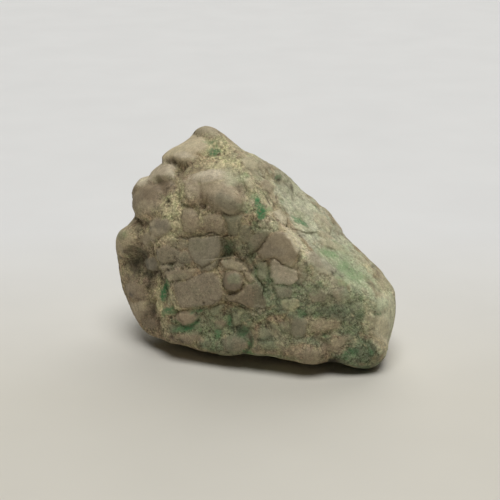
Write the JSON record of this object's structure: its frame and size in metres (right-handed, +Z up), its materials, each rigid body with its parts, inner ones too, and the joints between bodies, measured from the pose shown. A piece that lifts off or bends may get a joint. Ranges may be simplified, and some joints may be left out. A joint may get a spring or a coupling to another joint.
{
  "type": "variscite specimen",
  "caption": "Hand-sized natural breccia stone with rounded pale clasts and green phosphate veins, resting freely on a small natural flat.",
  "frame": {"origin": "centre of the bounding box on the ground plane the stone rests on", "axes": "+Z up, +X to the right seen from the show side, which faces -Y; the longest extent lies along X"},
  "size_m": [0.1083, 0.0725, 0.0839],
  "materials": {
    "breccia_rock": "weathered phosphate rock: dull grey, tan and cream clasts in a crumbly matrix with green veins; rough, no polish"
  },
  "bodies": {
    "root": {"variscite_breccia": "breccia_rock"}
  },
  "joints": []
}
